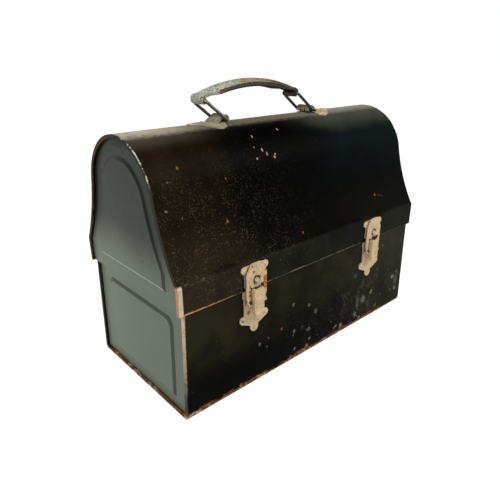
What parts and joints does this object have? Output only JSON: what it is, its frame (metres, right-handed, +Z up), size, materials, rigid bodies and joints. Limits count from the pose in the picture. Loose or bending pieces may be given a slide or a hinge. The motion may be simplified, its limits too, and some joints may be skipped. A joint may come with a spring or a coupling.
{
  "type": "lunch box",
  "caption": "Sheet-steel lunch box with a domed bottle lid, folding top handle, draw latches and a back hinge.",
  "frame": {"origin": "centre of the underside's outline at the base plane, midway between the ends and between the front and back faces of the box", "axes": "+X towards the end on the right seen from the front, -Y towards the front with the latches, +Z up"},
  "size_m": [0.256, 0.1308, 0.211],
  "materials": {
    "black_enamel": "worn black baked enamel over sheet steel",
    "latch_steel": "aged nickel plate with rust",
    "bracket_steel": "worn olive-brown painted steel",
    "handle_wire": "bare steel wire, browned",
    "handle_grip": "pitted and mottled old paint",
    "inner_steel": "plain steel"
  },
  "bodies": {
    "base": {"box_wrapper": "black_enamel", "box_end_left": "black_enamel", "box_end_right": "black_enamel", "latch_plate_left": "latch_steel", "latch_plate_right": "latch_steel", "latch_plate_rivets": "latch_steel", "lever_pins": "latch_steel", "box_hinge_leaf_left": "black_enamel", "box_hinge_leaf_right": "black_enamel", "box_hinge_rivets": "black_enamel", "hinge_pins": "inner_steel"},
    "lid": {"lid_wrapper": "black_enamel", "lid_end_left": "black_enamel", "lid_end_right": "black_enamel", "strike_plate_left": "latch_steel", "strike_plate_right": "latch_steel", "strike_rivets": "latch_steel", "lid_hinge_leaf_left": "black_enamel", "lid_hinge_leaf_right": "black_enamel", "lid_hinge_rivets": "black_enamel", "handle_bracket_left": "bracket_steel", "handle_bracket_right": "bracket_steel", "handle_bracket_rivets": "bracket_steel", "bail_brackets": "inner_steel", "bail_clip": "inner_steel"},
    "lever_left": {"latch_lever_left": "latch_steel", "loop_pin_left": "latch_steel"},
    "lever_right": {"latch_lever_right": "latch_steel", "loop_pin_right": "latch_steel"},
    "loop_left": {"latch_loop_left": "latch_steel"},
    "loop_right": {"latch_loop_right": "latch_steel"},
    "link_left": {"handle_link_left": "handle_wire"},
    "link_right": {"handle_link_right": "handle_wire"},
    "grip": {"handle_grip": "handle_grip"},
    "bail": {"bottle_bail": "inner_steel"}
  },
  "joints": [
    {"name": "lid_hinge", "type": "hinge", "parent": "base", "child": "lid", "pos_m": [0, 0.0625, 0.0803], "axis": [-1, 0, 0], "range_deg": [0, 140]},
    {"name": "latch_left", "type": "hinge", "parent": "base", "child": "lever_left", "pos_m": [-0.067, -0.0635, 0.0797], "axis": [-1, 0, 0], "range_deg": [0, 150]},
    {"name": "latch_right", "type": "hinge", "parent": "base", "child": "lever_right", "pos_m": [0.067, -0.0635, 0.0797], "axis": [-1, 0, 0], "range_deg": [0, 150]},
    {"name": "loop_left_pivot", "type": "hinge", "parent": "lever_left", "child": "loop_left", "pos_m": [-0.067, -0.0624, 0.0702], "axis": [-1, 0, 0], "range_deg": [-190, 0]},
    {"name": "loop_right_pivot", "type": "hinge", "parent": "lever_right", "child": "loop_right", "pos_m": [0.067, -0.0624, 0.0702], "axis": [-1, 0, 0], "range_deg": [-190, 0]},
    {"name": "handle_swing", "type": "hinge", "parent": "lid", "child": "link_left", "pos_m": [-0.045, 0, 0.1841], "axis": [0, 1, 0], "range_deg": [-24, 129]},
    {"name": "handle_right_swing", "type": "hinge", "parent": "lid", "child": "link_right", "pos_m": [0.045, 0, 0.1841], "axis": [0, 1, 0], "range_deg": [-24, 129]},
    {"name": "grip_pivot", "type": "hinge", "parent": "link_left", "child": "grip", "pos_m": [-0.06309, 0, 0.19798], "axis": [0, 1, 0], "range_deg": [-129, 24]},
    {"name": "bail_swing", "type": "hinge", "parent": "lid", "child": "bail", "pos_m": [0, 0.05694, 0.0959], "axis": [1, 0, 0], "range_deg": [0, 54]}
  ],
  "couplings": [
    {"joint": "loop_left_pivot", "follows": "latch_left", "ratio": -1.25},
    {"joint": "loop_right_pivot", "follows": "latch_right", "ratio": -1.25},
    {"joint": "handle_right_swing", "follows": "handle_swing", "ratio": 1},
    {"joint": "grip_pivot", "follows": "handle_swing", "ratio": -1}
  ]
}
